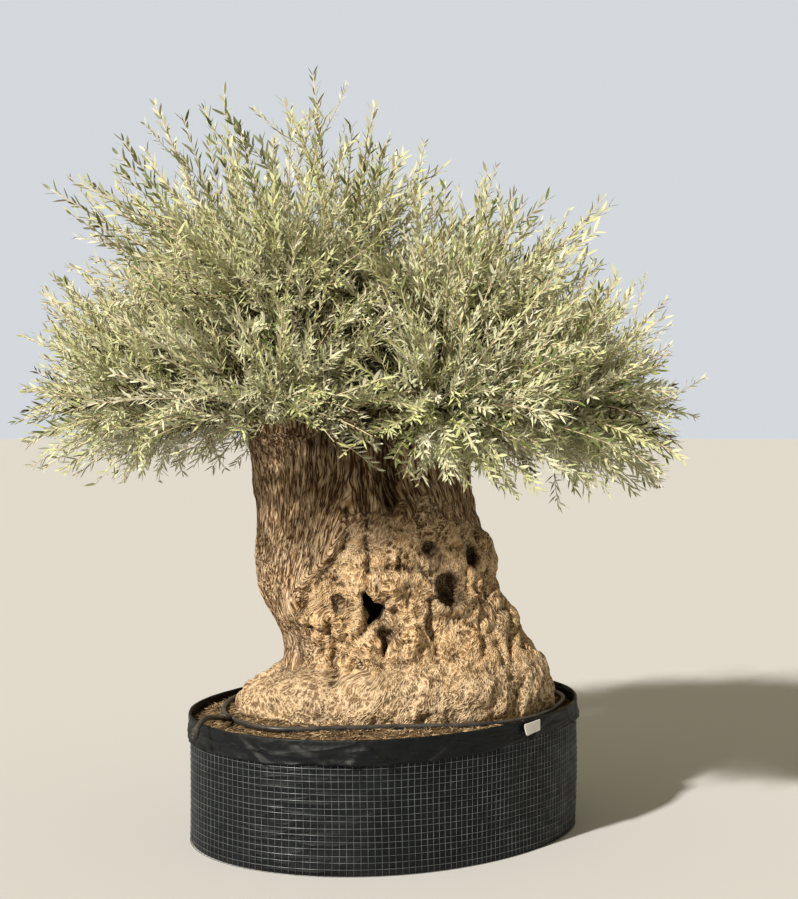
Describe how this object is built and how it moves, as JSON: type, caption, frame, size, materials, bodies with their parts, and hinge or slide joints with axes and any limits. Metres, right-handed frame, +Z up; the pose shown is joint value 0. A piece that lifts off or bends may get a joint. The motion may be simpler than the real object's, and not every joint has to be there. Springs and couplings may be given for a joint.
{
  "type": "old olive tree in a wire-mesh nursery container",
  "caption": "Old olive tree with a thick gnarled trunk and a dense crown of upright shoots, rooted in a low round wire-mesh container lined with black cloth.",
  "frame": {"origin": "middle of the container's flat underside, on the ground", "axes": "+Z up, -Y towards the front of the tree, +X to the right seen from the front"},
  "size_m": [2.7848, 2.4223, 3.018],
  "materials": {
    "ground_cloth": "black woven ground cloth, slightly glossy, creased where it is folded over the wires",
    "galvanised_wire": "dull galvanised wire, weathered and dusty",
    "soil": "dry brown soil with dead leaves and crumbs of bark",
    "bark": "deeply fissured dry olive bark, grey-brown, tan and fibrous near the ground",
    "leaves": "small narrow leaves, grey-green and matt above, silvery below, on pale twigs",
    "pipe": "black polyethylene pipe, dusty",
    "tag": "plain white plastic tag with nothing on it"
  },
  "bodies": {
    "root": {"liner": "ground_cloth", "wire_cage": "galvanised_wire", "soil": "soil", "trunk": "bark", "drip_ring": "pipe", "tag": "tag", "bough_lower_1": "bark", "bough_lower_2": "bark", "bough_lower_3": "bark", "bough_lower_4": "bark", "bough_lower_5": "bark", "bough_lower_6": "bark", "bough_lower_7": "bark", "bough_lower_8": "bark", "bough_upper_1": "bark", "bough_upper_2": "bark", "bough_upper_3": "bark", "bough_upper_4": "bark", "bough_upper_5": "bark", "bough_top": "bark", "foliage_lower_1": "leaves", "foliage_lower_2": "leaves", "foliage_lower_3": "leaves", "foliage_lower_4": "leaves", "foliage_lower_5": "leaves", "foliage_lower_6": "leaves", "foliage_lower_7": "leaves", "foliage_lower_8": "leaves", "foliage_upper_1": "leaves", "foliage_upper_2": "leaves", "foliage_upper_3": "leaves", "foliage_upper_4": "leaves", "foliage_upper_5": "leaves", "foliage_top": "leaves"}
  },
  "joints": []
}
